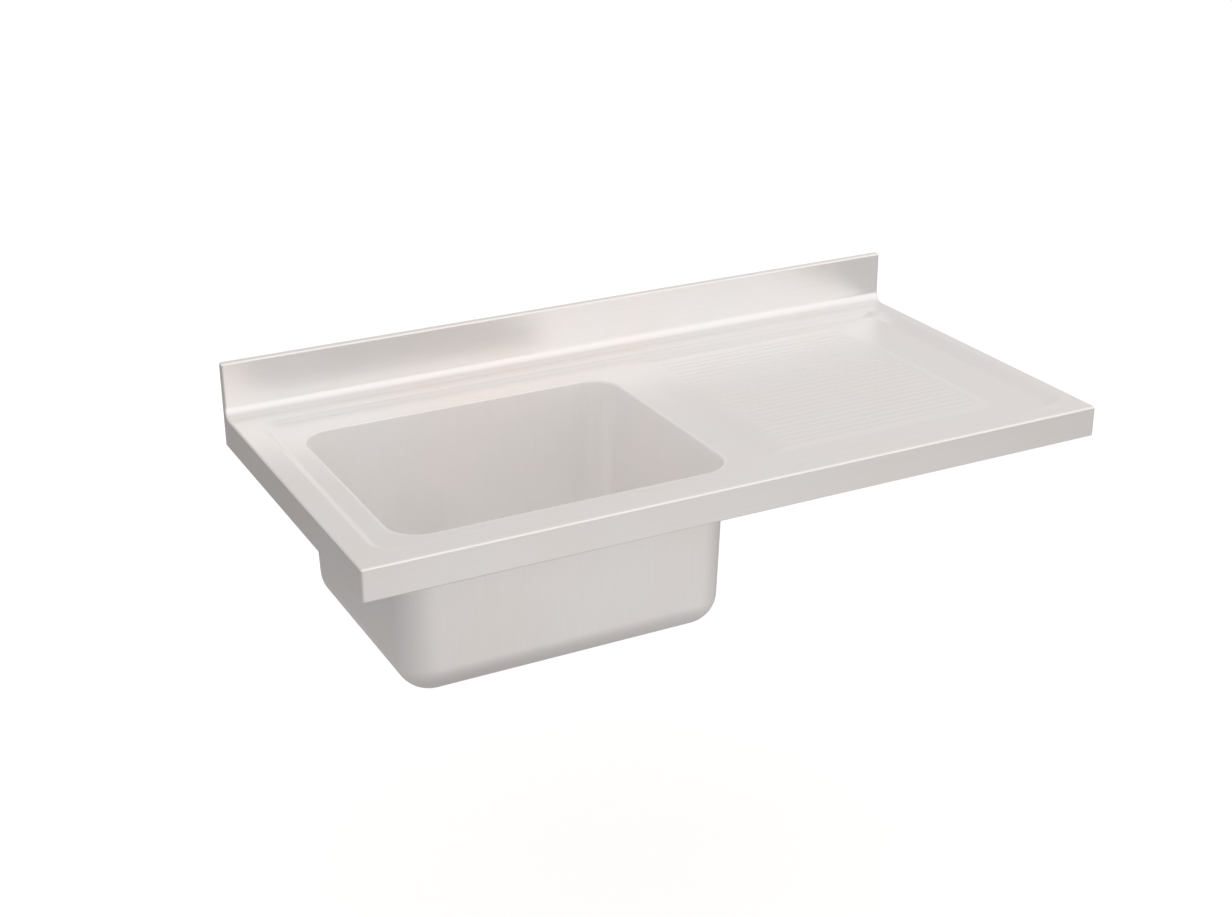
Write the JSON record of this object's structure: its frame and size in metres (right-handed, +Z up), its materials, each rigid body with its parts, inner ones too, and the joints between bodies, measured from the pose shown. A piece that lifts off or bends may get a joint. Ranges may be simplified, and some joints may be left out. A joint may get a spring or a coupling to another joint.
{
  "type": "kitchen sink with drainboard",
  "caption": "Stainless steel catering sink top with a deep drawn bowl, a ribbed drainer, a rear upstand, folded skirts and a basket strainer waste.",
  "frame": {"origin": "middle of the length, on the wall plane, at the underside of the skirts where the top rests on its frame", "axes": "+X along the length from the bowl to the drainer, +Y towards the wall, +Z up"},
  "size_m": [1.2, 0.6, 0.431],
  "materials": {
    "satin_steel": "satin brushed stainless steel",
    "stiffener_steel": "plain mill finish stainless steel",
    "deadening_pad": "black bitumen deadening pad",
    "waste_steel": "polished stainless steel",
    "seal_rubber": "black rubber",
    "slip_fibre": "brown fibre washer",
    "nut_plastic": "pale moulded plastic"
  },
  "bodies": {
    "sink_top": {"worktop_sheet": "satin_steel", "bowl": "satin_steel", "rear_skirt": "satin_steel", "end_panel_left": "satin_steel", "end_panel_right": "satin_steel", "upstand_cap_left": "satin_steel", "upstand_cap_right": "satin_steel", "front_rail": "stiffener_steel", "cross_channel_left": "stiffener_steel", "cross_channel_middle": "stiffener_steel", "cross_channel_right": "stiffener_steel", "corner_plate_front_left": "stiffener_steel", "corner_plate_front_right": "stiffener_steel", "corner_plate_rear_left": "stiffener_steel", "corner_plate_rear_right": "stiffener_steel", "earth_tag": "stiffener_steel", "bowl_pad_left": "deadening_pad", "bowl_pad_right": "deadening_pad", "drainer_pad_left": "deadening_pad", "drainer_pad_right": "deadening_pad", "strainer_body": "waste_steel", "body_gasket": "seal_rubber", "clamp_gasket": "seal_rubber", "slip_washer": "slip_fibre", "lock_nut": "nut_plastic"},
    "strainer_basket": {"strainer_basket": "waste_steel"},
    "plug_post": {"basket_post": "waste_steel", "basket_plug": "seal_rubber"}
  },
  "joints": [
    {"name": "basket_lift", "type": "slide", "parent": "sink_top", "child": "strainer_basket", "axis": [0, 0, 1], "range_m": [0, 0.34]},
    {"name": "plug_lift", "type": "slide", "parent": "strainer_basket", "child": "plug_post", "axis": [0, 0, 1], "range_m": [0, 0.008]}
  ]
}
